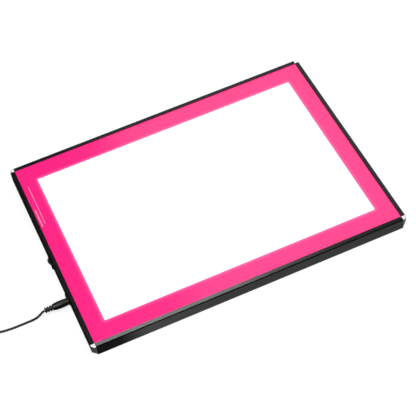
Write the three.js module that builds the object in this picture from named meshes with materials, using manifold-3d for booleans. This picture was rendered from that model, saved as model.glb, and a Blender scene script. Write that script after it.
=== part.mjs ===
// Slim LED light panel for tracing: a black aluminium frame of four rails and four
// corner connectors holds an opal cover with a printed border over an edge-lit light
// guide. A rocker switch and a DC socket sit in the left rail, and the power lead of
// the plugged-in adapter lies beside the panel.
//
// Millimetres. +X runs along the long side, +Y to the rear, +Z up. The origin is on
// the table, under the middle of the frame.

import * as THREE from 'three';
import { mergeVertices } from 'three/addons/utils/BufferGeometryUtils.js';
import Module from 'manifold-3d';

const wasm = await Module();
wasm.setup();

// ---------------------------------------------------------------- driving dimensions

const FRAME_X = 497.4; // outer length of the frame
const FRAME_Y = 372.6; // outer depth
const RAIL_H = 20.2; // height of a rail
const FOOT_H = 1.5; // how far the feet hold the rails off the table
const LIP = 6.8; // width of a rail's top and bottom flanges
const WALL = 1.4; // thickness of a rail's web and bottom flange
const LIP_T = 1.2; // thickness of the top flange
const FIT = 0.3; // gap between pieces that touch
const CORNER_R = 6; // outer radius of a corner connector

const WINDOW_X = 429.6; // lit window
const WINDOW_Y = 296.9;
const WINDOW_OFF_Y = -0.7; // the window sits this far off the middle
const WINDOW_R = 2;

const SWITCH_Y = -9.2; // middle of the rocker switch along the left rail
const JACK_Y = -86.6; // axis of the DC socket
const CORD_D = 3.5;

// ---------------------------------------------------------------- derived places

const HALF_X = FRAME_X / 2;
const HALF_Y = FRAME_Y / 2;
const RAIL_Z = FOOT_H;
const TOP_Z = RAIL_Z + RAIL_H;
const MID_Z = RAIL_Z + RAIL_H / 2;
const LEFT_FACE = -HALF_X;

const COVER_CLEAR = 1.6; // from a rail's web to the edges of the cover and its print

const LAYER_GAP = 0.1;
const PRINT_T = 0.25;
const COVER_T = 3;
const DIFFUSER_T = 1;
const GUIDE_T = 5;
const REFLECTOR_T = 0.6;
const BACK_T = 2;
const PRINT_Z = TOP_Z - LIP_T - 0.15 - PRINT_T;
const COVER_Z = PRINT_Z - LAYER_GAP - COVER_T;
const DIFFUSER_Z = COVER_Z - LAYER_GAP - DIFFUSER_T;
const GUIDE_Z = DIFFUSER_Z - LAYER_GAP - GUIDE_T;
const REFLECTOR_Z = GUIDE_Z - LAYER_GAP - REFLECTOR_T;
const BACK_Z = RAIL_Z + WALL + FIT;
const INSIDE_Z = BACK_Z + BACK_T + FIT; // lowest level inside, over the back panel
const STACK_X = WINDOW_X / 2 + 5; // half size of the light guide and its sheets
const STACK_Y = WINDOW_Y / 2 + 4.5;

// ---------------------------------------------------------------- finishes

const FINISHES = {
  black_anodised: { color: 0x1b1c1d, roughness: 0.36, metalness: 0.85 },
  satin_silver: { color: 0xc3c6c8, roughness: 0.28, metalness: 0.9 },
  pink_print: { color: 0xff2a86, roughness: 0.22, metalness: 0 },
  opal_acrylic: { color: 0xf6f8fa, roughness: 0.18, metalness: 0 },
  diffuser_film: { color: 0xf2f3f3, roughness: 0.6, metalness: 0 },
  clear_acrylic: { color: 0xdfeaea, roughness: 0.08, metalness: 0 },
  white_film: { color: 0xfafafa, roughness: 0.5, metalness: 0 },
  white_foam: { color: 0xe9e9e6, roughness: 0.9, metalness: 0 },
  black_abs: { color: 0x232425, roughness: 0.55, metalness: 0 },
  bare_aluminium: { color: 0xb4b8bb, roughness: 0.4, metalness: 0.9 },
  white_circuit: { color: 0xe8ebe8, roughness: 0.5, metalness: 0 },
  green_circuit: { color: 0x1f5b3a, roughness: 0.5, metalness: 0 },
  component_black: { color: 0x1a1a1c, roughness: 0.45, metalness: 0 },
  switch_plastic: { color: 0x202122, roughness: 0.38, metalness: 0 },
  contact_metal: { color: 0xc9b27a, roughness: 0.3, metalness: 0.95 },
  plated_steel: { color: 0xb9bcbf, roughness: 0.3, metalness: 0.95 },
  foot_rubber: { color: 0x17181a, roughness: 0.85, metalness: 0 },
  lead_pvc: { color: 0x18191a, roughness: 0.5, metalness: 0 },
  tie_fabric: { color: 0x1a1a1b, roughness: 0.95, metalness: 0 },
  wire_red: { color: 0xb3201c, roughness: 0.5, metalness: 0 },
  wire_black: { color: 0x1b1b1b, roughness: 0.5, metalness: 0 },
  adapter_shell: { color: 0x1d1e20, roughness: 0.45, metalness: 0 },
};

const group = new THREE.Group();

function add(name, geometry, finish) {
  const mesh = new THREE.Mesh(geometry, new THREE.MeshStandardMaterial(FINISHES[finish]));
  mesh.name = name;
  group.add(mesh);
  return mesh;
}

// ---------------------------------------------------------------- shape helpers

function toSolid(geometry) {
  const bare = geometry.clone();
  bare.deleteAttribute('normal');
  bare.deleteAttribute('uv');
  const merged = mergeVertices(bare, 1e-4);
  return new wasm.Manifold(new wasm.Mesh({
    numProp: 3,
    vertProperties: new Float32Array(merged.attributes.position.array),
    triVerts: new Uint32Array(merged.index.array),
  }));
}

function toGeometry(solid) {
  const mesh = solid.getMesh();
  const geometry = new THREE.BufferGeometry();
  geometry.setAttribute('position', new THREE.BufferAttribute(mesh.vertProperties, 3));
  geometry.setIndex(new THREE.BufferAttribute(mesh.triVerts, 1));
  geometry.computeVertexNormals();
  return geometry;
}

// The first shape joined with `joined`, less every shape in `cuts`.
function build(first, joined = [], cuts = []) {
  let solid = toSolid(first);
  for (const shape of joined) solid = solid.add(toSolid(shape));
  for (const shape of cuts) solid = solid.subtract(toSolid(shape));
  return toGeometry(solid);
}

function box(x0, x1, y0, y1, z0, z1) {
  const geometry = new THREE.BoxGeometry(x1 - x0, y1 - y0, z1 - z0);
  return geometry.translate((x0 + x1) / 2, (y0 + y1) / 2, (z0 + z1) / 2);
}

function slab(shape, z, thickness) {
  const options = { depth: thickness, bevelEnabled: false, curveSegments: 6 };
  return new THREE.ExtrudeGeometry(shape, options).translate(0, 0, z);
}

function roundedRect(halfX, halfY, r, cx = 0, cy = 0, target = new THREE.Shape()) {
  const [x0, x1, y0, y1] = [cx - halfX, cx + halfX, cy - halfY, cy + halfY];
  target.moveTo(x0 + r, y0);
  target.lineTo(x1 - r, y0);
  target.absarc(x1 - r, y0 + r, r, -Math.PI / 2, 0, false);
  target.lineTo(x1, y1 - r);
  target.absarc(x1 - r, y1 - r, r, 0, Math.PI / 2, false);
  target.lineTo(x0 + r, y1);
  target.absarc(x0 + r, y1 - r, r, Math.PI / 2, Math.PI, false);
  target.lineTo(x0, y0 + r);
  target.absarc(x0 + r, y0 + r, r, Math.PI, Math.PI * 1.5, false);
  return target;
}

// A sheet held in the rails' channels, `clear` mm off their webs, with its corners cut
// out square round the corner connectors.
function channelSheet(clear) {
  const [halfX, halfY] = [HALF_X - WALL - clear, HALF_Y - WALL - clear];
  const [inX, inY] = [HALF_X - LIP - FIT, HALF_Y - LIP - FIT];
  const points = [
    [-inX, -halfY], [inX, -halfY], [inX, -inY], [halfX, -inY],
    [halfX, inY], [inX, inY], [inX, halfY], [-inX, halfY],
    [-inX, inY], [-halfX, inY], [-halfX, -inY], [-inX, -inY],
  ];
  return new THREE.Shape(points.map(([x, y]) => new THREE.Vector2(x, y)));
}

function circleHole(x, y, r) {
  const hole = new THREE.Path();
  hole.absarc(x, y, r, 0, Math.PI * 2, true);
  return hole;
}

// A turned piece. profile holds [radius, distance along the axis] from end to end on
// the axis; the axis starts at `at` and points along `direction`.
function turned(profile, at, direction, segments = 24) {
  const points = profile.map(([r, along]) => new THREE.Vector2(r, along));
  const geometry = new THREE.LatheGeometry(points, segments);
  const turn = new THREE.Quaternion().setFromUnitVectors(
    new THREE.Vector3(0, 1, 0), new THREE.Vector3(...direction).normalize());
  return geometry.applyQuaternion(turn).translate(...at);
}

function rod(r, length, at, direction, segments = 20) {
  return turned([[0, 0], [r, 0], [r, length], [0, length]], at, direction, segments);
}

// A tube of round section through points, with a step about every `step` mm.
function tube(points, diameter, sides, step) {
  const vectors = points.map((p) => new THREE.Vector3(...p));
  const curve = new THREE.CatmullRomCurve3(vectors, false, 'centripetal');
  const section = new THREE.Shape();
  for (let i = 0; i < sides; i += 1) {
    const angle = (i / sides) * Math.PI * 2;
    const [x, y] = [Math.cos(angle) * diameter / 2, Math.sin(angle) * diameter / 2];
    if (i === 0) section.moveTo(x, y);
    else section.lineTo(x, y);
  }
  const steps = Math.max(2, Math.round(curve.getLength() / step));
  return new THREE.ExtrudeGeometry(section, { steps, extrudePath: curve });
}

// ---------------------------------------------------------------- frame rails

// Where each rail lies: the middle of its outer face, the way inwards, its length.
const RAILS = {
  front: { at: [0, -HALF_Y], inward: [0, 1], length: FRAME_X - 2 * LIP - 0.2 },
  rear: { at: [0, HALF_Y], inward: [0, -1], length: FRAME_X - 2 * LIP - 0.2 },
  left: { at: [-HALF_X, 0], inward: [1, 0], length: FRAME_Y - 2 * LIP - 0.2 },
  right: { at: [HALF_X, 0], inward: [-1, 0], length: FRAME_Y - 2 * LIP - 0.2 },
};

const EDGE_R = 1.2; // round of a rail's upper outer edge
const FOOT_EDGE_R = 0.7; // round of its lower outer edge
const LIP_FALL = 0.5; // how far the top flange falls towards the outside

// The C section: u runs inwards from the outer face and v up from the rail's bottom.
function railSection() {
  const shape = new THREE.Shape();
  const shoulder = RAIL_H - LIP_FALL - EDGE_R;
  shape.moveTo(LIP, 0);
  shape.lineTo(LIP, WALL);
  shape.lineTo(WALL, WALL);
  shape.lineTo(WALL, RAIL_H - LIP_T - LIP_FALL);
  shape.lineTo(WALL + 1.4, RAIL_H - LIP_T);
  shape.lineTo(LIP, RAIL_H - LIP_T);
  shape.lineTo(LIP, RAIL_H - 0.2);
  shape.lineTo(LIP - 0.2, RAIL_H);
  shape.lineTo(EDGE_R, RAIL_H - LIP_FALL);
  shape.absarc(EDGE_R, shoulder, EDGE_R, Math.PI / 2, Math.PI, false);
  shape.lineTo(0, FOOT_EDGE_R);
  shape.absarc(FOOT_EDGE_R, FOOT_EDGE_R, FOOT_EDGE_R, Math.PI, Math.PI * 1.5, false);
  return shape;
}

function railBar({ at, inward, length }) {
  const options = { depth: length, bevelEnabled: false, curveSegments: 4 };
  const bar = new THREE.ExtrudeGeometry(railSection(), options).translate(0, 0, -length / 2);
  const u = new THREE.Vector3(inward[0], inward[1], 0);
  const v = new THREE.Vector3(0, 0, 1);
  const basis = new THREE.Matrix4().makeBasis(u, v, u.clone().cross(v));
  return bar.applyMatrix4(basis).translate(at[0], at[1], RAIL_Z);
}

// ---------------------------------------------------------------- corner screws

const SCREW_R = 1.25;
const SCREW_HEAD_R = 2.2;
const SCREW_L = 11;
const SCREW_IN = 4.2; // distance of a screw from the frame's outer faces
const SCREW_ALONG = 20; // and from the end of the frame, along the rail

const CORNERS = [
  { name: 'front_left', sx: -1, sy: -1 },
  { name: 'front_right', sx: 1, sy: -1 },
  { name: 'rear_right', sx: 1, sy: 1 },
  { name: 'rear_left', sx: -1, sy: 1 },
];

// The two screws of a corner: one up through the long rail, one through the short rail.
function screwPlaces({ sx, sy }) {
  return {
    long: [sx * (HALF_X - SCREW_ALONG), sy * (HALF_Y - SCREW_IN)],
    short: [sx * (HALF_X - SCREW_IN), sy * (HALF_Y - SCREW_ALONG)],
  };
}

const SCREW_SINK = SCREW_HEAD_R - SCREW_R; // depth of the 90 degree countersink

function countersink([x, y]) {
  const r = SCREW_R + 0.2;
  const profile = [[0, -0.5], [SCREW_HEAD_R + 0.7, -0.5], [r, SCREW_SINK + 0.2], [r, 3], [0, 3]];
  return turned(profile, [x, y, RAIL_Z], [0, 0, 1], 16);
}

function screw([x, y]) {
  const body = turned([
    [0, 0.05], [SCREW_HEAD_R, 0.05], [SCREW_R, SCREW_SINK + 0.05],
    [SCREW_R, SCREW_L - 1], [0.4, SCREW_L], [0, SCREW_L],
  ], [x, y, RAIL_Z], [0, 0, 1], 14);
  const slots = [[1.5, 0.3], [0.3, 1.5]].map(([a, b]) =>
    box(x - a, x + a, y - b, y + b, RAIL_Z - 0.5, RAIL_Z + 0.75));
  return build(body, [], slots);
}

// ---------------------------------------------------------------- frame

const SWITCH_CUT = { halfY: 8.1, halfZ: 5.6 }; // cut-out for the switch
const JACK_CUT = { y0: JACK_Y - 3.8, y1: JACK_Y + 9.4, halfZ: 4.9 };

function addFrame() {
  const cuts = { front: [], rear: [], left: [], right: [] };
  for (const corner of CORNERS) {
    const places = screwPlaces(corner);
    cuts[corner.sy < 0 ? 'front' : 'rear'].push(countersink(places.long));
    cuts[corner.sx < 0 ? 'left' : 'right'].push(countersink(places.short));
  }
  const [x0, x1] = [LEFT_FACE - 1, LEFT_FACE + WALL + 0.2];
  cuts.left.push(
    box(x0, x1, SWITCH_Y - SWITCH_CUT.halfY, SWITCH_Y + SWITCH_CUT.halfY,
      MID_Z - SWITCH_CUT.halfZ, MID_Z + SWITCH_CUT.halfZ),
    box(x0, x1, JACK_CUT.y0, JACK_CUT.y1, MID_Z - JACK_CUT.halfZ, MID_Z + JACK_CUT.halfZ),
  );
  for (const [side, rail] of Object.entries(RAILS)) {
    add(`${side}_rail`, build(railBar(rail), [], cuts[side]), 'black_anodised');
  }
}

// ---------------------------------------------------------------- corner connectors

const TONGUE_L = 24; // how far a connector reaches into each rail
const TONGUE_W = 4.9;
const TONGUE_Z1 = COVER_Z - FIT;
const CAP_BEVEL = 0.5;
const CAP_LEAN = { from: 12.5, slope: 0.36 }; // height where its foot starts to lean in

// A quarter-round cap that fills the corner, with a tongue inside each rail. The foot of
// its round side leans in under the frame.
function connector({ sx, sy }) {
  const cap = new THREE.Shape();
  const inset = CAP_BEVEL;
  const size = LIP - inset;
  cap.moveTo(inset, CORNER_R);
  cap.absarc(CORNER_R, CORNER_R, CORNER_R - inset, Math.PI, Math.PI * 1.5, false);
  cap.lineTo(size, inset);
  cap.lineTo(size, size);
  cap.lineTo(inset, size);
  const options = {
    depth: RAIL_H - 0.2 - 2 * CAP_BEVEL,
    bevelThickness: CAP_BEVEL,
    bevelSize: CAP_BEVEL,
    bevelSegments: 2,
    curveSegments: 8,
  };
  const block = new THREE.ExtrudeGeometry(cap, options).translate(0, 0, RAIL_Z + CAP_BEVEL);
  const near = WALL + FIT;
  const far = LIP + TONGUE_L;
  const tongues = [
    box(LIP - 1.5, far, near, near + TONGUE_W, INSIDE_Z, TONGUE_Z1),
    box(near, near + TONGUE_W, LIP - 1.5, far, INSIDE_Z, TONGUE_Z1),
  ];
  const holes = [[SCREW_ALONG, SCREW_IN], [SCREW_IN, SCREW_ALONG]].map(([x, y]) =>
    rod(SCREW_R + 0.15, SCREW_L + 1, [x, y, RAIL_Z], [0, 0, 1], 14));
  const crown = CORNER_R * (1 - Math.SQRT1_2); // the round's outermost point
  const outside = rod(FRAME_Y, LIP * 2, [crown, crown, RAIL_Z + CAP_LEAN.from],
    [-1, -1, -CAP_LEAN.slope], 4);
  const solid = build(block, tongues, [...holes, outside]);
  // Mirror the front-left corner into place; a single mirror turns the faces over.
  solid.scale(-sx, -sy, 1);
  if (sx * sy < 0) solid.setIndex(new THREE.BufferAttribute(solid.index.array.reverse(), 1));
  return solid.translate(sx * HALF_X, sy * HALF_Y, 0);
}

function addCorners() {
  for (const corner of CORNERS) {
    add(`corner_connector_${corner.name}`, connector(corner), 'satin_silver');
    for (const [rail, place] of Object.entries(screwPlaces(corner))) {
      add(`corner_screw_${corner.name}_${rail}`, screw(place), 'plated_steel');
    }
  }
}

// ---------------------------------------------------------------- sheets

function addSheets() {
  const border = channelSheet(COVER_CLEAR);
  border.holes.push(roundedRect(
    WINDOW_X / 2, WINDOW_Y / 2, WINDOW_R, 0, WINDOW_OFF_Y, new THREE.Path()));
  add('border_print', slab(border, PRINT_Z, PRINT_T), 'pink_print');
  add('cover_sheet', slab(channelSheet(COVER_CLEAR), COVER_Z, COVER_T), 'opal_acrylic');

  const stack = (halfX, halfY, z, t) => box(-halfX, halfX, -halfY, halfY, z, z + t);
  add('diffuser_sheet', stack(STACK_X, STACK_Y, DIFFUSER_Z, DIFFUSER_T), 'diffuser_film');
  add('light_guide_plate', stack(STACK_X, STACK_Y, GUIDE_Z, GUIDE_T), 'clear_acrylic');
  add('reflector_sheet', stack(STACK_X, STACK_Y, REFLECTOR_Z, REFLECTOR_T), 'white_film');
  add('foam_pad', stack(STACK_X, STACK_Y, INSIDE_Z, REFLECTOR_Z - FIT - INSIDE_Z), 'white_foam');

  const back = channelSheet(FIT);
  for (const corner of CORNERS) {
    for (const [x, y] of Object.values(screwPlaces(corner))) {
      back.holes.push(circleHole(x, y, SCREW_R + 0.2));
    }
  }
  add('back_panel', slab(back, BACK_Z, BACK_T), 'black_abs');
}

// ---------------------------------------------------------------- light source

const LED_PITCH = 12;
const LED_COUNT = 35;
const STRIP_T = 1; // circuit board of an LED strip, standing on edge
const LED_PROUD = 0.8;
const BAR_W = 6; // aluminium bar behind each strip, which also holds the cover up

function addLights() {
  for (const [side, sy] of [['front', -1], ['rear', 1]]) {
    const face = STACK_Y + FIT + LED_PROUD; // the board's inner face
    const span = (a, b) => (sy > 0 ? [a, b] : [-b, -a]);
    const strip = box(-STACK_X, STACK_X, ...span(face, face + STRIP_T), INSIDE_Z, COVER_Z - 2);
    const leds = [];
    for (let i = 0; i < LED_COUNT; i += 1) {
      const x = (i - (LED_COUNT - 1) / 2) * LED_PITCH;
      leds.push(box(x - 2.5, x + 2.5, ...span(face - LED_PROUD, face + 0.2),
        GUIDE_Z + 1, GUIDE_Z + 4));
    }
    add(`${side}_led_strip`, build(strip, leds), 'white_circuit');
    const bar = face + STRIP_T + FIT;
    add(`${side}_heat_spreader`,
      box(-STACK_X, STACK_X, ...span(bar, bar + BAR_W), INSIDE_Z, COVER_Z - FIT),
      'bare_aluminium');
  }
  for (const [side, sx] of [['left', -1], ['right', 1]]) {
    const near = STACK_X + FIT;
    const [x0, x1] = sx > 0 ? [near, near + 4] : [-near - 4, -near];
    add(`${side}_spacer`,
      box(x0, x1, -STACK_Y + 10, STACK_Y - 10, INSIDE_Z, COVER_Z - FIT), 'white_foam');
  }
}

// ---------------------------------------------------------------- rocker switch

const FACE_GAP = 0.15; // between the rail's outer face and what lies on it
const ROCKER_TILT = 9.5; // the rocker rests this many degrees either side of level
const BLADE_TILT = 6;
const PIVOT = [LEFT_FACE + 2.6, SWITCH_Y, MID_Z];
const BEZEL = { halfY: 8.8, halfZ: 6.2, thickness: 1.6 };
const ROCKER_HALF_Z = 4.15;

// A plate with eased edges that lies on the left rail's outer face.
function facePlate(halfY, halfZ, thickness, y) {
  const ease = 0.4;
  const plate = new THREE.ExtrudeGeometry(roundedRect(halfY, halfZ, 1.1), {
    depth: thickness - 2 * ease,
    bevelThickness: ease,
    bevelSize: ease,
    bevelOffset: -ease,
    bevelSegments: 2,
    curveSegments: 3,
  });
  // The extrusion's depth points outwards, along -X.
  return plate.rotateX(Math.PI / 2).rotateZ(-Math.PI / 2)
    .translate(LEFT_FACE - FACE_GAP - ease, y, MID_Z);
}

// Shapes inside the switch are drawn in its own section: u towards the rear, v outwards
// from the rocker's pivot. They are extruded along Z, then tilted about their axis.
function switchPiece(points, halfZ, tilt, aboutV = 0) {
  const shape = new THREE.Shape(points.map(([u, v]) => new THREE.Vector2(u, v - aboutV)));
  const options = { depth: 2 * halfZ, bevelEnabled: false };
  const bar = new THREE.ExtrudeGeometry(shape, options).translate(0, 0, -halfZ);
  // u -> +Y and v -> -X is a quarter turn about Z.
  return bar.rotateZ(Math.PI / 2 + THREE.MathUtils.degToRad(tilt))
    .translate(PIVOT[0] - aboutV, PIVOT[1], PIVOT[2]);
}

function rect(u0, u1, v0, v1) {
  return [[u0, v0], [u1, v0], [u1, v1], [u0, v1]];
}

// Outlines in the switch's own section. The blade's and terminals' lengths run inwards.
const SWITCH_BODY = { halfU: 7.9, inner: -9.2, proud: 1, halfZ: 5.4 };
const SWITCH_POCKET = { halfU: 7.6, inner: -8, outer: 12, halfZ: 4.4 };
const TAB_SLOT = { halfU: 0.55, inner: -12, outer: -7, halfZ: 2.15 };
const LOAD_U = 4.2; // the load terminal's place; the common terminal is under the pivot
const TRUNNION = { r: 1.2, length: 10.4, play: 0.15, boreLength: 14 };
const ROCKER_OUTLINE = [
  [-6.58, 5.56], [-6.95, 3.4], [-6.6, 1.6], [-3.2, 0.6], [-2.6, -2.4],
  [2.6, -2.4], [3.2, 0.6], [6.6, 1.6], [6.95, 3.4], [6.58, 5.56], [0, 4.46],
];
const PLUNGER = { halfU: 0.9, inner: -4.5, outer: -2.6, halfZ: 0.9 };
const SEESAW_OUTLINE = [
  [-4.6, -5.5], [-0.6, -5.75], [0.6, -5.75], [4.6, -5.5], [4.6, -5.05], [-4.6, -5.05],
];
const SEESAW_PIVOT_V = -5.8;
const TERMINAL = { halfU: 0.4, inner: -15, commonOuter: -6.2, loadOuter: -6.5, halfZ: 2 };

// A round bar along Z, centred on the rocker's pivot.
function pivotBar(r, length) {
  return rod(r, length, [PIVOT[0], PIVOT[1], PIVOT[2] - length / 2], [0, 0, 1]);
}

function switchBlock({ halfU, inner, outer, halfZ }, u = 0, tilt = 0) {
  return switchPiece(rect(u - halfU, u + halfU, inner, outer), halfZ, tilt);
}

function addSwitch() {
  const outward = PIVOT[0] - LEFT_FACE; // v of the rail's outer face
  const bezel = facePlate(BEZEL.halfY, BEZEL.halfZ, BEZEL.thickness, SWITCH_Y);
  const body = switchBlock({ ...SWITCH_BODY, outer: outward + SWITCH_BODY.proud });
  const bearing = pivotBar(TRUNNION.r + TRUNNION.play, TRUNNION.boreLength);
  const hollows = [
    switchBlock(SWITCH_POCKET), bearing, switchBlock(TAB_SLOT), switchBlock(TAB_SLOT, LOAD_U),
  ];
  add('switch_housing', build(bezel, [body], hollows), 'switch_plastic');

  const rocker = switchPiece(ROCKER_OUTLINE, ROCKER_HALF_Z, ROCKER_TILT);
  add('switch_rocker', build(rocker, [pivotBar(TRUNNION.r, TRUNNION.length)]),
    'switch_plastic');
  add('switch_plunger', switchBlock(PLUNGER, 0, ROCKER_TILT), 'contact_metal');
  add('switch_contact_blade',
    switchPiece(SEESAW_OUTLINE, TERMINAL.halfZ, -BLADE_TILT, SEESAW_PIVOT_V), 'contact_metal');
  const { commonOuter, loadOuter } = TERMINAL;
  add('switch_terminal_common', switchBlock({ ...TERMINAL, outer: commonOuter }),
    'contact_metal');
  add('switch_terminal_load', switchBlock({ ...TERMINAL, outer: loadOuter }, LOAD_U),
    'contact_metal');
}

// ---------------------------------------------------------------- DC socket and plug

// The socket's surround; its middle sits behind the socket's axis by `offset`.
const SURROUND = { halfY: 7.4, halfZ: 6, thickness: 1.9, offset: 3.6 };
const SOCKET_R = 2.95;
const SOCKET_DEPTH = 10.4; // from the rail's outer face
const SOCKET_BLOCK = { depth: 14, behind: 8.6, inFront: 5, halfZ: 4.6 };
const SOCKET_PIN = [[0, 0], [1, 0], [1, 6.4], [0.5, 7], [0, 7]];
const PLUG_FACE = LEFT_FACE - FACE_GAP - SURROUND.thickness - 0.5;
const PLUG_AXIS = [JACK_Y, MID_Z];
// The overmould's radius at each distance from its face: a barrel, then three ribs.
const PLUG_BODY = [
  [4.9, 0], [5.3, 0.5], [5.6, 3], [5.85, 7], [5.85, 12.5], [5.6, 16.5], [5.15, 20],
  [4.75, 22.4], [3.2, 22.9],
];
const PLUG_RIBS = [[4.6, 24.1], [4.4, 28.1], [4.2, 32.1]];
const RIB_L = 2.5;
const RIB_NECK_R = 2.9; // between the ribs
const PLUG_L = 34.8;
const BARREL = { r: 2.75, bore: 1.35, length: 9.6, floor: 2, ease: 0.3 };

function addSocket() {
  const surround = facePlate(SURROUND.halfY, SURROUND.halfZ, SURROUND.thickness,
    JACK_Y + SURROUND.offset);
  const spigot = box(LEFT_FACE - 0.5, LEFT_FACE + WALL + 0.6,
    JACK_CUT.y0 + FIT, JACK_CUT.y1 - FIT,
    MID_Z - JACK_CUT.halfZ + FIT, MID_Z + JACK_CUT.halfZ - FIT);
  const bore = rod(SOCKET_R + 0.15, 12, [LEFT_FACE - 6, ...PLUG_AXIS], [1, 0, 0]);
  add('jack_surround', build(surround, [spigot], [bore]), 'switch_plastic');

  const { depth, behind, inFront, halfZ } = SOCKET_BLOCK;
  const block = box(LEFT_FACE + WALL + 0.9, LEFT_FACE + depth, JACK_Y - inFront,
    JACK_Y + behind, MID_Z - halfZ, MID_Z + halfZ);
  const well = rod(SOCKET_R, SOCKET_DEPTH + 4, [LEFT_FACE - 4, ...PLUG_AXIS], [1, 0, 0]);
  add('jack_body', build(block, [], [well]), 'component_black');
  add('jack_pin', turned(SOCKET_PIN, [LEFT_FACE + SOCKET_DEPTH - 0.1, ...PLUG_AXIS],
    [-1, 0, 0], 16), 'plated_steel');
}

function addPlug() {
  const ribs = PLUG_RIBS.flatMap(([r, start]) => [
    [RIB_NECK_R, start], [r, start + 0.3], [r, start + RIB_L - 0.3], [RIB_NECK_R, start + RIB_L],
  ]);
  const profile = [[0, 0], ...PLUG_BODY, ...ribs, [CORD_D / 2 + 0.4, PLUG_L], [0, PLUG_L]];
  add('plug_overmould', turned(profile, [PLUG_FACE, ...PLUG_AXIS], [-1, 0, 0], 20), 'lead_pvc');
  const { r, bore, length, floor, ease } = BARREL;
  add('plug_barrel', turned([
    [0, LAYER_GAP], [r, LAYER_GAP], [r, length - ease], [r - ease, length], [bore, length],
    [bore, floor], [0, floor],
  ], [PLUG_FACE, ...PLUG_AXIS], [1, 0, 0], 24), 'plated_steel');
}

// ---------------------------------------------------------------- driver and wiring

const BOARD = { x0: -245, x1: -229, y0: 34, y1: 92, z0: 8.2, t: 1.6 };
const INDUCTOR = { r: 4.5, height: 4.6 };

function addDriver() {
  const { x0, x1, y0, y1, z0, t } = BOARD;
  add('driver_board', box(x0, x1, y0, y1, z0, z0 + t), 'green_circuit');
  add('board_pad', box(x0 + 2, x1 - 2, y0 + 3, y1 - 3, INSIDE_Z, z0 - 0.2), 'white_foam');
  add('driver_inductor', rod(INDUCTOR.r, INDUCTOR.height,
    [(x0 + x1) / 2, (y0 + y1) / 2, z0 + t + 0.15], [0, 0, 1]), 'component_black');
}

const WIRE_D = 1.6;
const WIRE_Z = 10.2; // where the wires run along the left rail

// Each wire's route, from its first end to its last.
const WIRES = {
  wire_jack_to_switch: { finish: 'wire_red', route: [
    [-233.6, -78, MID_Z], [-231, -74, 10.6], [-230.4, -60, WIRE_Z], [-230.4, -30, WIRE_Z],
    [-230, -17, 10.8], [-229.6, -12, MID_Z], [-230.1, SWITCH_Y, MID_Z],
  ] },
  wire_switch_to_board: { finish: 'wire_red', route: [
    [-230.1, SWITCH_Y + LOAD_U, MID_Z], [-229.4, 1, 11.2], [-231, 8, WIRE_Z],
    [-235, 18, WIRE_Z], [-237, 26, 10.6], [-237, 33.6, 10.8],
  ] },
  wire_jack_to_board: { finish: 'wire_black', route: [
    [-233.6, -86, MID_Z], [-228, -82, 9.4], [-227, -70, 7.4], [-227, -30, 7.2],
    [-227, 0, 7.2], [-230, 16, 7.2], [-233, 26, 9.4], [-233, 33.6, 10.8],
  ] },
  wire_board_to_front_strip: { finish: 'wire_black', route: [
    [-241, 33.6, 10.8], [-241, 28, 12.2], [-240, 20, 14.4], [-234, 12, 14.8],
    [-228, 5, 14.8], [-226.4, -4, 14.8], [-226.4, -60, 14.8], [-226.4, -120, 14.4],
    [-225, -143, 12], [-222.4, -151, 9.2], [-220.2, -153.9, 8.6],
  ] },
  wire_board_to_rear_strip: { finish: 'wire_red', route: [
    [-237, 92.4, 10.8], [-236, 102, 9.6], [-233, 116, 8.6], [-229, 136, 8.4],
    [-225, 148, 8.6], [-222, 153, 8.6], [-220.2, 153.9, 8.6],
  ] },
};

function addWires() {
  for (const [name, { finish, route }] of Object.entries(WIRES)) {
    add(name, tube(route, WIRE_D, 6, 5), finish);
  }
}

// ---------------------------------------------------------------- feet

const FOOT = { x: 212, y: 150, r: 7, ease: 0.5 };

function addFeet() {
  const top = BACK_Z - LAYER_GAP;
  const { x, y, r, ease } = FOOT;
  const profile = [[0, 0], [r - ease, 0], [r, ease], [r, top - 0.2], [r - 0.2, top], [0, top]];
  for (const { name, sx, sy } of CORNERS) {
    add(`foot_${name}`, turned(profile, [sx * x, sy * y, 0], [0, 0, 1], 24), 'foot_rubber');
  }
}

// ---------------------------------------------------------------- power lead

// The lead drops from the plug's strain relief to the table and runs to its coil.
const LEAD_POINTS = [
  [-286.4, -86.6, 11.6], [-289.5, -87.1, 11.2], [-292.5, -88.1, 10.2], [-296, -89.1, 8.6],
  [-300, -89.4, 6.8], [-304, -89, 5.2], [-308.5, -88.4, 3.8], [-313, -87.8, 2.9],
  [-318, -87.4, 2.3], [-324, -87.2, 2], [-332, -87.1, 1.9], [-340, -86.8, 1.9],
  [-348, -86.1, 1.9], [-356, -84.6, 1.9], [-365, -82.6, 1.9], [-374, -81.2, 1.9],
  [-382.3, -80.4, 2.2],
];
// From the coil's top turn to the adapter.
const TAIL_POINTS = [
  [-412.3, -37.2, 13.5], [-412.3, -31, 13.7], [-412.3, -25.5, 13.9], [-412.3, -19.9, 14],
];
const COIL = { x: -388, y: -52, z0: 1, inner: 12.4, outer: 26.2, height: 14.4, ease: 1 };
const TIE = { halfWidth: 4, gap: 0.25, thickness: 0.7 };

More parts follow.
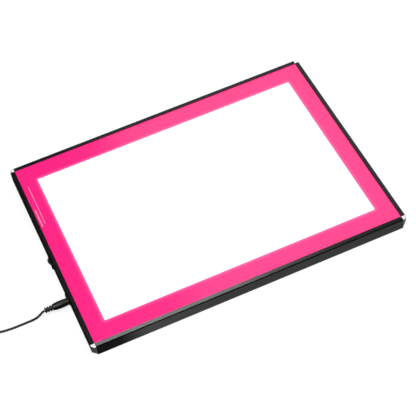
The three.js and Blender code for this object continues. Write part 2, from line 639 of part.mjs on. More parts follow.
function addLead() {
  add('cord_run', tube(LEAD_POINTS, CORD_D, 8, 7), 'lead_pvc');
  add('cord_tail', tube(TAIL_POINTS, CORD_D, 8, 7), 'lead_pvc');
  const { x, y, z0, inner, outer, height, ease } = COIL;
  const ring = [
    [inner + ease, 0], [outer - ease, 0], [outer, ease], [outer, height - ease],
    [outer - ease, height], [inner + ease, height], [inner, height - ease], [inner, ease],
    [inner + ease, 0],
  ];
  const coil = new THREE.LatheGeometry(ring.map(([r, up]) => new THREE.Vector2(r, up)), 40);
  add('cord_coil', coil.rotateX(Math.PI / 2).translate(x, y, z0), 'lead_pvc');

  // A hook-and-loop tie round the bundle of turns, on the coil's rear side.
  const { halfWidth, gap, thickness } = TIE;
  const y0 = y + Math.sqrt(inner ** 2 - halfWidth ** 2) - gap;
  const y1 = y + outer + gap;
  const [low, high] = [z0 - gap, z0 + height + gap];
  const loop = box(x - halfWidth, x + halfWidth, y0 - thickness, y1 + thickness,
    low - thickness, high + thickness);
  const hollow = box(x - halfWidth - 1, x + halfWidth + 1, y0, y1, low, high);
  add('cord_tie', build(loop, [], [hollow]), 'tie_fabric');
}

// ---------------------------------------------------------------- power adapter

const ADAPTER = { x: -412.3, y0: 5.4, y1: 69.4, halfX: 21, z0: 0.1, height: 27.8, ease: 1.2 };
// The adapter's strain relief: radius at each distance from its thin end.
const ADAPTER_RELIEF = [[2.5, 0], [2.9, 1.2], [3.3, 12], [4.4, 22.5], [4.7, 24.6]];
const BLADE = { apart: 12.7, thickness: 1.5, width: 6.2, length: 16.8 };

function addAdapter() {
  const { x, y0, y1, halfX, z0, height, ease } = ADAPTER;
  const middle = z0 + height / 2;
  const shell = new THREE.ExtrudeGeometry(
    roundedRect(halfX - ease, height / 2 - ease, 2.6), {
      depth: y1 - y0 - 2 * ease,
      bevelThickness: ease,
      bevelSize: ease,
      bevelSegments: 3,
      curveSegments: 6,
    });
  // The section's y becomes Z and its depth runs along +Y.
  shell.rotateX(Math.PI / 2).translate(x, y1 - ease, middle);
  add('adapter_shell', shell, 'adapter_shell');
  const reliefEnd = ADAPTER_RELIEF.at(-1)[1];
  add('adapter_strain_relief', turned([[0, 0], ...ADAPTER_RELIEF, [0, reliefEnd]],
    [x, y0 - FIT - reliefEnd, middle], [0, 1, 0], 20), 'lead_pvc');
  for (const [i, side] of [-1, 1].entries()) {
    const { apart, thickness, width, length } = BLADE;
    const px = x + side * apart / 2;
    add(`adapter_pin_${i + 1}`,
      box(px - thickness / 2, px + thickness / 2, y1 + 0.2, y1 + 0.2 + length,
        middle - width / 2, middle + width / 2), 'contact_metal');
  }
}

// ---------------------------------------------------------------- assembly

addFrame();
addCorners();
addSheets();
addLights();
addSwitch();
addSocket();
addPlug();
addDriver();
addWires();
addFeet();
addLead();
addAdapter();

export default group;
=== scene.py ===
"""Looks of the slim LED light panel: camera, power lead, finishes, floor and light.

Places and sizes are in metres, in the row frame, unless a comment says millimetres.
"""

import math
from functools import partial

import bpy
from mathutils import Matrix, Vector


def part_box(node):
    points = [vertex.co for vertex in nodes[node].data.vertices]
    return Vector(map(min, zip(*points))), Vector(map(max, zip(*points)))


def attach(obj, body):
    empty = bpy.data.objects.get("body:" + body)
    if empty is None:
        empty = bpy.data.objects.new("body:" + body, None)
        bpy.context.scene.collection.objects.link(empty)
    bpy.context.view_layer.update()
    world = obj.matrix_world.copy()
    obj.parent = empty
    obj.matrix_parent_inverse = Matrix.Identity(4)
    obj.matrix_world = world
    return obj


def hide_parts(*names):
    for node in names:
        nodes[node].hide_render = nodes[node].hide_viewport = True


MM = 0.001

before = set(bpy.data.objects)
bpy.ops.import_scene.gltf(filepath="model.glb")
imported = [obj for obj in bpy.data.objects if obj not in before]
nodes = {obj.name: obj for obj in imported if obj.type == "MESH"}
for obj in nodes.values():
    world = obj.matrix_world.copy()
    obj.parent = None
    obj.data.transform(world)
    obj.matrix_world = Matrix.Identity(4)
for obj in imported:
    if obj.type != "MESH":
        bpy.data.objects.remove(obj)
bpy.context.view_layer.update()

# ---------------------------------------------------------------- camera

CAMERA_PLACE = Vector((-0.38263, -1.32041, 1.65096))
CAMERA_AZIMUTH = math.radians(-16.40)
CAMERA_ELEVATION = math.radians(50.48)
CAMERA_ROLL = math.radians(9.07)
CAMERA_LENS = 122.2  # millimetres, like the sensor
CAMERA_SENSOR = 36.0


def add_camera():
    """The camera looks down at the panel from its front left, rolled a little to its side."""
    flat = math.cos(CAMERA_ELEVATION)
    back = Vector(
        (
            math.sin(CAMERA_AZIMUTH) * flat,
            -math.cos(CAMERA_AZIMUTH) * flat,
            math.sin(CAMERA_ELEVATION),
        )
    )
    level_right = Vector((0, 0, 1)).cross(back).normalized()
    level_down = level_right.cross(back)
    right = level_right * math.cos(CAMERA_ROLL) + level_down * math.sin(CAMERA_ROLL)
    up = back.cross(right)
    data = bpy.data.cameras.new("camera")
    data.lens = CAMERA_LENS
    data.sensor_width = CAMERA_SENSOR
    camera = bpy.data.objects.new("camera", data)
    bpy.context.scene.collection.objects.link(camera)
    turn = Matrix((right, up, back)).transposed().to_4x4()
    camera.matrix_world = Matrix.Translation(CAMERA_PLACE) @ turn
    bpy.context.scene.camera = camera


add_camera()

# ---------------------------------------------------------------- power lead

LEAD_DIAMETER = 3.5 * MM
LEAD_ROUND = 4  # the bevel resolution that gives the lead twelve sides
LEAD_STEP = 1.6 * MM  # between two points of the curve

# Points on the lead's centreline, in millimetres.
# From there down to the table and along it to the coil.
LEAD_OUT = [
    (-286.4, -86.6, 11.6),
    (-289.5, -87.1, 11.2),
    (-292.5, -88.1, 10.2),
    (-296.0, -89.1, 8.6),
    (-300.0, -89.4, 6.8),
    (-304.0, -89.0, 5.2),
    (-308.5, -88.4, 3.8),
    (-313.0, -87.8, 2.9),
    (-318.0, -87.4, 2.3),
    (-324.0, -87.2, 2.0),
    (-332.0, -87.1, 1.9),
    (-340.0, -86.8, 1.9),
    (-348.0, -86.1, 1.9),
    (-356.0, -84.6, 1.9),
    (-365.0, -82.6, 1.9),
    (-374.0, -81.2, 1.9),
    (-382.3, -80.4, 2.2),
]
# From the coil's top to the wall adapter's strain relief.
LEAD_IN = [
    (-412.3, -37.2, 13.5),
    (-412.3, -31.0, 13.7),
    (-412.3, -25.5, 13.9),
    (-412.3, -19.9, 14.0),
]

# The coil, in millimetres and degrees.
COIL_CENTRE = (-388.0, -52.0)
COIL_OUTER = 24.3  # radius of its widest turn's centreline
COIL_INNER = 14.3  # and of its narrowest
COIL_FLOOR = 2.75  # height of the lowest layer's centreline
COIL_LAYER = 3.55  # from one layer up to the next
COIL_LAYERS = 4
COIL_START = -115.0
COIL_END = -180.0
COIL_FULL_TURNS = 11
COIL_POINT = 10.0  # between two points of a turn
COIL_CLIMB = 45.0  # on each side of a layer's end, where the lead climbs to the next


def smooth(share):
    """0 to 1 with a level start and end."""
    share = min(1.0, max(0.0, share))
    return share * share * (3 - 2 * share)


def coil_points():
    """The lead wound clockwise in layers that spiral in and out by turns, in millimetres."""
    sweep = COIL_FULL_TURNS * 360 + (COIL_START - COIL_END)
    layer_sweep = sweep / COIL_LAYERS
    steps = round(sweep / COIL_POINT)
    points = []
    for step in range(steps + 1):
        turned = sweep * step / steps
        layer = min(COIL_LAYERS - 1, int(turned / layer_sweep))
        share = turned / layer_sweep - layer
        inward = share if layer % 2 == 0 else 1 - share
        radius = COIL_OUTER + (COIL_INNER - COIL_OUTER) * inward
        height = COIL_FLOOR
        for end in range(1, COIL_LAYERS):
            into = (turned - end * layer_sweep + COIL_CLIMB) / (2 * COIL_CLIMB)
            height += COIL_LAYER * smooth(into)
        angle = math.radians(COIL_START - turned)
        points.append(
            (
                COIL_CENTRE[0] + radius * math.cos(angle),
                COIL_CENTRE[1] + radius * math.sin(angle),
                height,
            )
        )
    return points


def through(points, step):
    """Points up to a step apart, in metres, on a Catmull-Rom curve through the given ones."""
    given = [Vector(p) * MM for p in points]
    padded = [2 * given[0] - given[1], *given, 2 * given[-1] - given[-2]]
    made = []
    for i in range(1, len(padded) - 2):
        before, start, end, after = padded[i - 1 : i + 3]
        count = max(1, math.ceil((end - start).length / step))
        for k in range(count):
            t = k / count
            doubled = (
                2 * start
                + (end - before) * t
                + (2 * before - 5 * start + 4 * end - after) * t**2
                + (3 * start - before - 3 * end + after) * t**3
            )
            made.append(0.5 * doubled)
    made.append(given[-1])
    return made


def add_lead():
    """One free cord: plug end, run on the table, coil, and the end that goes into the adapter."""
    line = through(LEAD_OUT + coil_points() + LEAD_IN, LEAD_STEP)
    curve = bpy.data.curves.new("power_lead", "CURVE")
    curve.dimensions = "3D"
    curve.bevel_depth = 1.0  # times each point's radius, which also sets the curve's box
    curve.bevel_resolution = LEAD_ROUND
    curve.use_fill_caps = True
    spline = curve.splines.new("POLY")
    spline.points.add(len(line) - 1)
    for point, place in zip(spline.points, line):
        point.co = (*place, 1)
        point.radius = LEAD_DIAMETER / 2
    spline.use_smooth = True
    lead = bpy.data.objects.new("power_lead", curve)
    bpy.context.scene.collection.objects.link(lead)
    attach(lead, "panel")
    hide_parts("cord_run", "cord_coil", "cord_tail")
    return lead


lead = add_lead()

# ---------------------------------------------------------------- material tools

BLACK = (0.0, 0.0, 0.0)
WHITE = (1.0, 1.0, 1.0)
UNSTRETCHED = (1, 1, 1)
NOISE_LOW = 0.3  # most noise lies between these two
NOISE_HIGH = 0.7
NOISE_SOFTNESS = 0.55  # how strong the noise's finer details are


class Finish:
    """A procedural material, and short calls that add nodes to it."""

    def __init__(self, name, **shader):
        self.material = bpy.data.materials.new(name)
        self.material.use_nodes = True
        self.tree = self.material.node_tree
        self.shader = self.tree.nodes["Principled BSDF"]
        self.feed(**shader)

    def feed(self, **sockets):
        """Sets or links sockets of the shader. In their names _ stands for a space."""
        for name, value in sockets.items():
            self._put(self.shader.inputs[name.replace("_", " ")], value)

    def _put(self, socket, value):
        if isinstance(value, bpy.types.NodeSocket):
            self.tree.links.new(value, socket)
        elif socket.type == "RGBA" and len(value) == 3:
            socket.default_value = (*value, 1)
        else:
            socket.default_value = value

    def add(self, kind, inputs=(), output=0, **settings):
        """A node with its inputs set or linked, by name or number. Returns one of its outputs."""
        node = self.tree.nodes.new(kind)
        for key, value in settings.items():
            setattr(node, key, value)
        for key, value in dict(inputs).items():
            self._put(node.inputs[key], value)
        return node.outputs[output]

    def place(self):
        """The point on the surface, in metres."""
        return self.add("ShaderNodeTexCoord", output="Object")

    def stretched(self, stretch):
        """The point on the surface, stretched by that much along X, Y and Z."""
        inputs = {0: self.place(), 1: stretch}
        return self.add("ShaderNodeVectorMath", inputs, operation="MULTIPLY")

    def axes(self):
        """The X, Y and Z of the point on the surface."""
        return self.add("ShaderNodeSeparateXYZ", {0: self.place()}).node.outputs

    def noise(self, scale, stretch=UNSTRETCHED, detail=4.0):
        """Cloudy noise with that many cells to the metre."""
        inputs = {
            "Vector": self.stretched(stretch),
            "Scale": scale,
            "Detail": detail,
            "Roughness": NOISE_SOFTNESS,
        }
        return self.add("ShaderNodeTexNoise", inputs, "Fac")

    def cells(self, scale, stretch=UNSTRETCHED):
        """Distance to the middle of the nearest of many small cells."""
        inputs = {"Vector": self.stretched(stretch), "Scale": scale}
        return self.add("ShaderNodeTexVoronoi", inputs, "Distance")

    def math(self, operation, first, second=0.0):
        """One sum on one or two numbers."""
        return self.add("ShaderNodeMath", {0: first, 1: second}, operation=operation)

    def spread(self, value, low=0.0, high=1.0, start=NOISE_LOW, end=NOISE_HIGH):
        """The value's range from start to end, turned into low to high."""
        inputs = {0: value, 1: start, 2: end, 3: low, 4: high}
        return self.add("ShaderNodeMapRange", inputs)

    def mix(self, share, first, second):
        """One colour turning into another."""
        inputs = {"Factor": share, 6: first, 7: second}
        return self.add("ShaderNodeMix", inputs, 2, data_type="RGBA")

    def shades(self, share, color, dark, light=1.0):
        """A colour from its dark shade to its light one."""
        return self.mix(share, times(color, dark), times(color, light))

    def bump(self, height, depth, strength=1.0):
        """A normal from a height between 0 and 1 that stands for that depth in metres."""
        inputs = {"Height": height, "Distance": depth, "Strength": strength}
        return self.add("ShaderNodeBump", inputs)


def times(color, share):
    """A colour made darker or lighter."""
    return tuple(channel * share for channel in color)


# ---------------------------------------------------------------- plastic and metal

# Here and below, a grain, cloud or other scale of noise is in cells to the metre.
MOULDED_CLOUD = 25  # slow change of shade on moulded plastic, film, rubber and foam


def moulded(name, color, roughness, grain, depth, shade=0.75, **shader):
    """A surface with a fine grain, a slow change of shade and a roughness that follows both."""
    made = Finish(name, **shader)
    fine = made.noise(grain, detail=3.0)
    slow = made.noise(MOULDED_CLOUD, detail=2.0)
    both = made.math("MULTIPLY", made.math("ADD", fine, slow), 0.5)
    made.feed(
        Base_Color=made.shades(made.spread(both), color, dark=shade),
        Roughness=made.spread(both, *roughness),
        Normal=made.bump(fine, depth),
    )
    return made


RAIL_WAY = {"front_rail": "x", "rear_rail": "x", "left_rail": "y", "right_rail": "y"}
RAIL_OUT = (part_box("right_rail")[1].x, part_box("rear_rail")[1].y)  # outer faces, on both sides
FLANGE_FALL = 0.5 * MM  # from the rail's highest line out to the flange's rounded edge
RAIL_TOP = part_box("front_rail")[1].z - FLANGE_FALL
EDGE_IN = 1.0 * MM  # the painted dark reflection on the rounded edge goes this far in
EDGE_DOWN = 1.9 * MM  # and this far down
FOOT_TOP = 2.4 * MM  # a rail's foot gets the same painted dark reflection, up to this height

ANODISED = (0.0062, 0.0064, 0.0066)
ANODISED_CLOUD = 14
DIE_LINES = 2600
DIE_LINES_WAY = {"x": (0.02, 1, 1), "y": (1, 0.02, 1)}  # drawn out along the rail
DIE_LINES_DEPTH = 0.005 * MM


def anodised(name, along):
    """Black anodised extrusion: faint die lines along the rail. Its rounded outer edges and its
    foot are painted near-black, a painted dark reflection.
    """
    made = Finish(name, IOR=1.5)
    lines = made.noise(DIE_LINES, DIE_LINES_WAY[along], detail=3.0)
    cloud = made.noise(ANODISED_CLOUD, detail=3.0)
    tone = made.shades(made.spread(cloud), ANODISED, dark=0.7, light=1.25)
    x, y, z = made.axes()
    past_faces = [
        made.math("SUBTRACT", made.math("ABSOLUTE", place), out)
        for place, out in zip((x, y), RAIL_OUT)
    ]
    outer = made.math("GREATER_THAN", made.math("MAXIMUM", *past_faces), -EDGE_IN)
    upper = made.math("GREATER_THAN", z, RAIL_TOP - EDGE_DOWN)
    foot = made.math("LESS_THAN", z, FOOT_TOP)
    # painted dark reflection: the rounded outer top edge and the foot get a darker base colour
    # and full metal, so they mirror almost nothing
    painted_dark_edges = made.math("MAXIMUM", made.math("MULTIPLY", outer, upper), foot)
    made.feed(
        Base_Color=made.mix(painted_dark_edges, tone, times(ANODISED, 0.6)),
        Metallic=painted_dark_edges,
        Roughness=made.spread(lines, 0.2, 0.3),
        Normal=made.bump(lines, DIE_LINES_DEPTH),
    )
    return made


BRUSH_LINES = 3200
BRUSH_CLOUD = 70
METAL_DEPTH = 0.004 * MM


def brushed(name, color, roughness, stretch):
    """Brushed metal with its lines along one way."""
    made = Finish(name, Metallic=1.0)
    lines = made.noise(BRUSH_LINES, stretch, detail=3.0)
    slow = made.noise(BRUSH_CLOUD, detail=2.0)
    made.feed(
        Base_Color=made.shades(made.spread(slow), color, dark=0.88),
        Roughness=made.spread(lines, *roughness),
        Normal=made.bump(lines, METAL_DEPTH),
    )
    return made


# One satin silver, painted bright on the flat top and dark grey on the round side: a painted
# highlight and painted shade.
CAP_PAINTED_BRIGHT_TOP = (0.86, 0.86, 0.87)
CAP_PAINTED_DARK_SIDE = (0.10, 0.10, 0.103)
CAP_TURN = (0.55, 0.85)  # the normal's upward part where the side turns into the top
CAP_GRAIN = 1500
CAP_CLOUD = 160


def cap_metal(name):
    """A cast corner piece of one satin silver, painted in two shades by which way it faces: a
    painted highlight on its flat top, painted shade on its round side.
    """
    made = Finish(name)
    normal = made.add("ShaderNodeNewGeometry", output="True Normal")
    upward = made.add("ShaderNodeSeparateXYZ", {0: normal}, "Z")
    top = made.spread(upward, 0, 1, *CAP_TURN)
    grain = made.noise(CAP_GRAIN, detail=3.0)
    slow = made.noise(CAP_CLOUD, detail=2.0)
    # painted shade on the side and a painted highlight on the top, chosen by the surface's true
    # normal
    painted_dark_side = made.shades(slow, CAP_PAINTED_DARK_SIDE, dark=0.8, light=1.15)
    painted_bright_top = made.shades(slow, CAP_PAINTED_BRIGHT_TOP, dark=0.93)
    made.feed(
        Base_Color=made.mix(top, painted_dark_side, painted_bright_top),
        Metallic=made.spread(top, 0.3, 0.5, 0, 1),
        Roughness=made.spread(grain, 0.26, 0.38),
        Normal=made.bump(grain, METAL_DEPTH),
    )
    return made


# ---------------------------------------------------------------- printed border and window

GUIDE_MARGIN = (5.0 * MM, 4.5 * MM)  # how far the light guide reaches past the window
GUIDE_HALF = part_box("light_guide_plate")[1]
WINDOW_HALF = [half - margin for half, margin in zip(GUIDE_HALF, GUIDE_MARGIN)]
WINDOW_MIDDLE = (0.0, -0.7 * MM)
WINDOW_ROUND = 2 * MM  # radius of its corners

# The two plain rules beside the window's rear left corner, which run from front to rear.
RULES = [
    {"middle": -232.8 * MM, "front": 58.8 * MM, "rear": 140.2 * MM, "half_width": 0.45 * MM},
    {"middle": -238.2 * MM, "front": 55.4 * MM, "rear": 91.4 * MM, "half_width": 0.8 * MM},
]

PINK = (0.93, 0.018, 0.222)
PINK_LIT = (1.0, 0.22, 0.42)
RULE_PINK = (0.95, 0.30, 0.46)
INK_MOTTLE = 60
INK_GLOSS = 90
INK_WAVES = 420
INK_DEPTH = 0.004 * MM

GLOW = 0.35  # share of painted lit pink at the window's edge
GLOW_REACH = 9 * MM
GLOW_FALL = 3.0  # power by which the glow fades outwards
GLOW_STRENGTH = 0.8


def from_window(made, x, y):
    """Distance outside the window's rounded edge, in metres."""
    squares = []
    for place, middle, half in zip((x, y), WINDOW_MIDDLE, WINDOW_HALF):
        off = made.math("ABSOLUTE", made.math("SUBTRACT", place, middle))
        off = made.math("SUBTRACT", off, half - WINDOW_ROUND)
        off = made.math("MAXIMUM", off, 0.0)
        squares.append(made.math("MULTIPLY", off, off))
    reach = made.math("SQRT", made.math("ADD", *squares))
    return made.math("SUBTRACT", reach, WINDOW_ROUND)


def on_rule(made, x, y, middle, front, rear, half_width):
    """1 on one of the thin rules and 0 beside it."""
    across = made.math("ABSOLUTE", made.math("SUBTRACT", x, middle))
    across = made.math("LESS_THAN", across, half_width)
    after = made.math("GREATER_THAN", y, front)
    before = made.math("LESS_THAN", y, rear)
    return made.math("MULTIPLY", across, made.math("MULTIPLY", after, before))


def printed(name):
    """Glossy hot-pink ink on clear film. Along its inner edge a painted glow, emission and a
    lighter base colour, stands in for the lit sheet below shining through.
    """
    made = Finish(name, IOR=1.5, Emission_Strength=GLOW_STRENGTH)
    x, y, _ = made.axes()
    mottle = made.spread(made.noise(INK_MOTTLE, detail=3.0))
    ink = made.shades(mottle, PINK, dark=0.965)
    for rule in RULES:
        ink = made.mix(on_rule(made, x, y, **rule), ink, RULE_PINK)
    # painted glow: the lit sheet's light through the ink, painted as a lighter base colour and
    # emission that fade away from the window
    painted_glow = made.spread(from_window(made, x, y), 1.0, 0.0, 0.0, GLOW_REACH)
    painted_glow = made.math("MULTIPLY", made.math("POWER", painted_glow, GLOW_FALL), GLOW)
    made.feed(
        Base_Color=made.mix(painted_glow, ink, PINK_LIT),
        Emission_Color=made.mix(painted_glow, BLACK, PINK_LIT),
        Roughness=made.spread(made.noise(INK_GLOSS), 0.13, 0.17),
        Normal=made.bump(made.noise(INK_WAVES, detail=2.0), INK_DEPTH),
    )
    return made


OPAL = (0.5, 0.5, 0.5)
OPAL_LIGHT = 0.55
OPAL_COOL = (0.985, 0.99, 1.0)
OPAL_CLOUD = 9
OPAL_GRAIN = 300
OPAL_WAVES = 500
OPAL_DEPTH = 0.0008 * MM


def opal(name):
    """Opal acrylic lit from behind, evenly white, with a satin top."""
    made = Finish(name, Base_Color=OPAL, IOR=1.49, Emission_Strength=OPAL_LIGHT)
    cloud = made.spread(made.noise(OPAL_CLOUD, detail=2.0))
    made.feed(
        Emission_Color=made.mix(cloud, OPAL_COOL, WHITE),
        Roughness=made.spread(made.noise(OPAL_GRAIN), 0.22, 0.3),
        Normal=made.bump(made.noise(OPAL_WAVES, detail=1.0), OPAL_DEPTH),
    )
    return made


# ---------------------------------------------------------------- circuits and the lead's tie

LED_PITCH = 12 * MM
LED_LENGTH = 5 * MM
LED_HEIGHT = 0.1 * MM
LED_YELLOW = (0.78, 0.56, 0.10)
STRIP_DARK = (0.72, 0.72, 0.70)
STRIP_LIGHT = (0.82, 0.82, 0.80)
STRIP_CLOUD = 400
STRIP_GRAIN = 700


def led_strip(name):
    """White circuit strip with a row of yellow LED packages."""
    made = Finish(name)
    x, _, _ = made.axes()
    off_middle = made.math("PINGPONG", x, LED_PITCH / 2)
    lamp = made.math("LESS_THAN", off_middle, LED_LENGTH / 2)
    strip = made.mix(made.noise(STRIP_CLOUD), STRIP_DARK, STRIP_LIGHT)
    made.feed(
        Base_Color=made.mix(lamp, strip, LED_YELLOW),
        Roughness=made.spread(made.noise(STRIP_GRAIN), 0.3, 0.5),
        Normal=made.bump(lamp, LED_HEIGHT, strength=0.5),
    )
    return made


BOARD_GREEN = (0.012, 0.10, 0.030)
TRACK_GREEN = (0.020, 0.16, 0.050)
TRACKS = 420
TRACK_SIDE = (0.45, 0.5)  # the board rises to a track at this distance in the cells
TRACK_HEIGHT = 0.03 * MM
BOARD_GRAIN = 600


def circuit(name):
    """Green driver board: solder mask over copper tracks."""
    made = Finish(name)
    tracks = made.spread(made.cells(TRACKS), 0, 1, *TRACK_SIDE)
    made.feed(
        Base_Color=made.mix(tracks, BOARD_GREEN, TRACK_GREEN),
        Roughness=made.spread(made.noise(BOARD_GRAIN), 0.25, 0.4),
        Normal=made.bump(tracks, TRACK_HEIGHT),
    )
    return made


TIE_LIGHT = (0.02, 0.02, 0.021)
TIE_DARK = (0.008, 0.008, 0.0085)
LOOPS = 1500
LOOP_STRETCH = (1, 1, 0.6)
LOOP_HEIGHT = 0.15 * MM
LOOP_FUZZ = 4200


def woven(name):
    """Hook-and-loop strap: short loops standing in rows."""
    made = Finish(name, Sheen_Weight=0.3, Sheen_Roughness=0.5)
    rows = made.cells(LOOPS, LOOP_STRETCH)
    fuzz = made.noise(LOOP_FUZZ)
    made.feed(
        Base_Color=made.mix(rows, TIE_LIGHT, TIE_DARK),
        Roughness=made.spread(fuzz, 0.75, 0.95),
        Normal=made.bump(rows, LOOP_HEIGHT),
    )
    return made


# ---------------------------------------------------------------- finish of each slot

# A function for each material slot of the record, which takes the new material's name.
FINISHES = {
    "satin_silver": cap_metal,
    "pink_print": printed,
    "opal_acrylic": opal,
    "white_circuit": led_strip,
    "green_circuit": circuit,
    "tie_fabric": woven,
    "bare_aluminium": partial(
        brushed,
        color=(0.74, 0.75, 0.76),
        roughness=(0.25, 0.4),
        stretch=(0.03, 1, 1),
    ),
    "plated_steel": partial(
        brushed,
        color=(0.62, 0.62, 0.63),
        roughness=(0.2, 0.3),
        stretch=UNSTRETCHED,
    ),
    "contact_metal": partial(
        brushed,
        color=(0.80, 0.68, 0.42),
        roughness=(0.2, 0.34),
        stretch=(1, 0.05, 1),
    ),
    "diffuser_film": partial(
        moulded,
        color=(0.86, 0.86, 0.87),
        roughness=(0.5, 0.65),
        grain=1800,
        depth=0.01 * MM,
        shade=0.97,
    ),
    "clear_acrylic": partial(
        moulded,
        color=(0.78, 0.88, 0.86),
        roughness=(0.04, 0.1),
        grain=900,
        depth=0.004 * MM,
        shade=0.97,
        IOR=1.49,
        Transmission_Weight=0.6,
    ),
    "white_film": partial(
        moulded,
        color=(0.88, 0.88, 0.88),
        roughness=(0.35, 0.5),
        grain=1500,
        depth=0.01 * MM,
        shade=0.97,
    ),
    "white_foam": partial(
        moulded,
        color=(0.80, 0.80, 0.78),
        roughness=(0.85, 0.95),
        grain=1400,
        depth=0.12 * MM,
        shade=0.8,
    ),
    "black_abs": partial(
        moulded,
        color=(0.014, 0.014, 0.0145),
        roughness=(0.42, 0.6),
        grain=2600,
        depth=0.05 * MM,
        shade=0.7,
    ),
    "component_black": partial(
        moulded,
        color=(0.018, 0.018, 0.018),
        roughness=(0.35, 0.5),
        grain=2600,
        depth=0.02 * MM,
    ),
    "switch_plastic": partial(
        moulded,
        color=(0.0065, 0.0065, 0.007),
        roughness=(0.28, 0.4),
        grain=2600,
        depth=0.015 * MM,
    ),
    "foot_rubber": partial(
        moulded,
        color=(0.018, 0.018, 0.018),
        roughness=(0.7, 0.88),
        grain=3000,
        depth=0.04 * MM,
    ),
    "lead_pvc": partial(
        moulded,
        color=(0.0030, 0.0030, 0.0032),
        roughness=(0.34, 0.46),
        grain=2200,
        depth=0.012 * MM,
        Specular_IOR_Level=0.35,
    ),
    "wire_red": partial(
        moulded,
        color=(0.42, 0.012, 0.012),
        roughness=(0.35, 0.5),
        grain=2000,
        depth=0.01 * MM,
    ),
    "wire_black": partial(
        moulded,
        color=(0.015, 0.015, 0.015),
        roughness=(0.35, 0.5),
        grain=2000,
        depth=0.01 * MM,
    ),
    "adapter_shell": partial(
        moulded,
        color=(0.012, 0.012, 0.0125),
        roughness=(0.45, 0.6),
        grain=2000,
        depth=0.06 * MM,
        shade=0.7,
    ),
}

# ---------------------------------------------------------------- smooth shading

CREASE = math.radians(32)  # faces that meet at less than this are shaded as one curve
TURNED = math.radians(2)  # faces that meet at more than this aren't one flat face
# Such an edge is a crease too if one of its faces is a flat one. That shows in their areas:
UNEVEN = 1.36  # mean square over squared mean, where one face is four times the other
LARGE = 300 * MM * MM  # or the mean of the two is more than this
WELD = 0.002 * MM  # corners closer than this are one


def shading_group():
    """Joins a node's separate triangles and shades its gentle curves smooth.

    It does so as a modifier, so the CAD mesh itself stays as it is.
    """
    group = bpy.data.node_groups.new("joined_shading", "GeometryNodeTree")
    for way in ("INPUT", "OUTPUT"):
        group.interface.new_socket("Geometry", in_out=way, socket_type="NodeSocketGeometry")
    new = group.nodes.new
    start = new("NodeGroupInput")
    end = new("NodeGroupOutput")
    weld = new("GeometryNodeMergeByDistance")
    weld.inputs["Distance"].default_value = WELD
    link = group.links.new

    def work(kind, operation, *inputs):
        """The result of one sum, comparison or logic node."""
        node = new(kind)
        node.operation = operation
        for socket, value in zip(node.inputs, inputs):
            if isinstance(value, bpy.types.NodeSocket):
                link(value, socket)
            else:
                socket.default_value = value
        return node.outputs[0]

    def from_faces(value):
        """The mean, at an edge, of what its two faces say."""
        node = new("GeometryNodeFieldOnDomain")
        node.domain = "FACE"
        link(value, node.inputs[0])
        return node.outputs[0]

    area = new("GeometryNodeInputMeshFaceArea").outputs[0]
    angle = new("GeometryNodeInputMeshEdgeAngle").outputs["Unsigned Angle"]
    mean = from_faces(area)
    mean_square = from_faces(work("ShaderNodeMath", "MULTIPLY", area, area))
    square = work("ShaderNodeMath", "MULTIPLY", mean, mean)
    square = work("ShaderNodeMath", "MULTIPLY", square, UNEVEN)
    uneven = work("FunctionNodeCompare", "GREATER_THAN", mean_square, square)
    large = work("FunctionNodeCompare", "GREATER_THAN", mean, LARGE)
    beside_flat = work("FunctionNodeBooleanMath", "OR", uneven, large)
    turned = work("FunctionNodeCompare", "GREATER_THAN", angle, TURNED)
    beside_flat = work("FunctionNodeBooleanMath", "AND", beside_flat, turned)
    creased = work("FunctionNodeCompare", "GREATER_THAN", angle, CREASE)
    sharp = work("FunctionNodeBooleanMath", "OR", creased, beside_flat)
    normals = new("GeometryNodeSetMeshNormal")
    normals.mode = "SHARPNESS"
    normals.inputs["Remove Custom"].default_value = True
    normals.inputs["Face Sharpness"].default_value = False
    link(start.outputs[0], weld.inputs["Geometry"])
    link(weld.outputs[0], normals.inputs["Mesh"])
    link(sharp, normals.inputs["Edge Sharpness"])
    link(normals.outputs[0], end.inputs[0])
    return group


def dress():
    """Gives every CAD node its finish and its shading. Returns the materials by slot."""
    group = shading_group()
    made = {}
    for name, node in nodes.items():
        slot = node.data.materials[0].name
        way = RAIL_WAY.get(name)
        key = f"{slot}_{way}" if way else slot
        if key not in made:
            finish = partial(anodised, along=way) if way else FINISHES[slot]
            made[key] = finish(f"look_{key}").material
        node.material_slots[0].material = made[key]
        shade = node.modifiers.new("shading", "NODES")
        shade.node_group = group
    return made


looks = dress()
lead.data.materials.append(looks["lead_pvc"])

# ---------------------------------------------------------------- floor and light

FLOOR_HALF = 3.0
FLOOR_DROP = 0.05 * MM  # below the feet, so that the two don't share a plane
FLOOR_COLOR = (0.25, 0.25, 0.25)
FLOOR_GLOW = 0.76  # the table's own light, which leaves only faint shadows on it
# Painted reflection: how bright glossy pieces mirror the table, a place along X and the
# brightness there.
MIRRORED = [(-0.205, 0.03), (-0.16, 0.72), (-0.04, 0.48), (0.3, 0.42)]


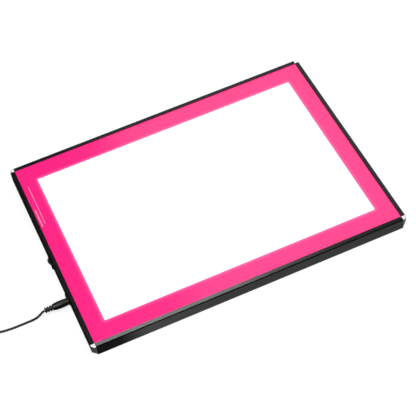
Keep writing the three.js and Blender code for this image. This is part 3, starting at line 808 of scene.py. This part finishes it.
def add_floor():
    """A plain pale table top. Glossy pieces see a painted reflection of it, darker, and nearly
    black at the left.

    It is clear from below, so that the underside can be looked at.
    """
    mesh = bpy.data.meshes.new("floor")
    corners = [(-1, -1), (1, -1), (1, 1), (-1, 1)]
    flat = [(x * FLOOR_HALF, y * FLOOR_HALF, -FLOOR_DROP) for x, y in corners]
    mesh.from_pydata(flat, [], [range(len(flat))])
    floor = bpy.data.objects.new("floor", mesh)
    bpy.context.scene.collection.objects.link(floor)
    made = moulded(
        "floor_white",
        FLOOR_COLOR,
        roughness=(0.7, 0.8),
        grain=300,
        depth=0.01 * MM,
        shade=0.985,
        Emission_Color=WHITE,
        Emission_Strength=FLOOR_GLOW,
    )
    x, _, _ = made.axes()
    # painted reflection: glossy rays see a diffuse table shaded along X instead of the lit one
    shade = MIRRORED[0][1]
    for (start, low), (end, high) in zip(MIRRORED, MIRRORED[1:]):
        shade = made.math("ADD", shade, made.spread(x, 0.0, high - low, start, end))
    painted_reflection = made.add("ShaderNodeBsdfDiffuse", {"Color": shade})
    glossy = made.add("ShaderNodeLightPath", output="Is Glossy Ray")
    both = made.add("ShaderNodeMixShader", {0: glossy, 1: made.shader.outputs[0], 2: painted_reflection})
    below = made.add("ShaderNodeNewGeometry", output="Backfacing")
    clear = made.add("ShaderNodeBsdfTransparent")
    one_sided = made.add("ShaderNodeMixShader", {0: below, 1: both, 2: clear})
    output = made.tree.nodes["Material Output"]
    made.tree.links.new(one_sided, output.inputs["Surface"])
    mesh.materials.append(made.material)


def add_area(name, place, size, power, target=None):
    """A soft panel of light, size across and deep, that faces the target or straight down."""
    data = bpy.data.lights.new(name, "AREA")
    data.shape = "RECTANGLE"
    data.size, data.size_y = size
    data.energy = power
    light = bpy.data.objects.new(name, data)
    bpy.context.scene.collection.objects.link(light)
    light.location = place
    target = Vector(target or (place[0], place[1], 0))
    away = light.location - target
    light.rotation_euler = away.to_track_quat("Z", "Y").to_euler()


WALL_BEHIND = 0.28  # strength of the light from the walls
WALL_IN_FRONT = 0.05
WALL_TURN = 0.35  # Y of the direction from which on the walls are at their brightest


def add_world():
    """The studio's walls: bright behind the piece and nearly dark in front of it."""
    world = bpy.data.worlds.new("studio")
    bpy.context.scene.world = world
    world.use_nodes = True
    tree = world.node_tree
    direction = tree.nodes.new("ShaderNodeTexCoord").outputs["Generated"]
    split = tree.nodes.new("ShaderNodeSeparateXYZ")
    tree.links.new(direction, split.inputs[0])
    ramp = tree.nodes.new("ShaderNodeMapRange")
    ramp.interpolation_type = "SMOOTHSTEP"
    tree.links.new(split.outputs["Y"], ramp.inputs["Value"])
    ramp.inputs["From Max"].default_value = WALL_TURN
    ramp.inputs["To Min"].default_value = WALL_IN_FRONT
    ramp.inputs["To Max"].default_value = WALL_BEHIND
    tree.links.new(ramp.outputs["Result"], tree.nodes["Background"].inputs["Strength"])


PANEL_MIDDLE = (0, 0, 0)
# Power is in watts. The camera sees the front_edge mirrored in the front rail's flange, and
# the rear_panel mirrored in the glossy top, along its rear and its right.
LIGHTS = {
    "key": {
        "place": (-1.1, -1.3, 3.0),
        "size": (2.4, 2.4),
        "power": 112,
        "target": PANEL_MIDDLE,
    },
    "fill": {
        "place": (1.6, -0.9, 2.6),
        "size": (1.6, 1.6),
        "power": 30,
        "target": PANEL_MIDDLE,
    },
    "front_edge": {
        "place": (0.14, 0.86, 2.26),
        "size": (0.70, 0.34),
        "power": 9.0,
    },
    "rear_panel": {
        "place": (0.98, 2.18, 2.26),
        "size": (1.30, 1.85),
        "power": 10.5,
    },
}

add_floor()
add_world()
for name, settings in LIGHTS.items():
    add_area(name, **settings)
bpy.context.scene.view_settings.view_transform = "Standard"

# ---------------------------------------------------------------- update of the scene

bpy.context.view_layer.update()
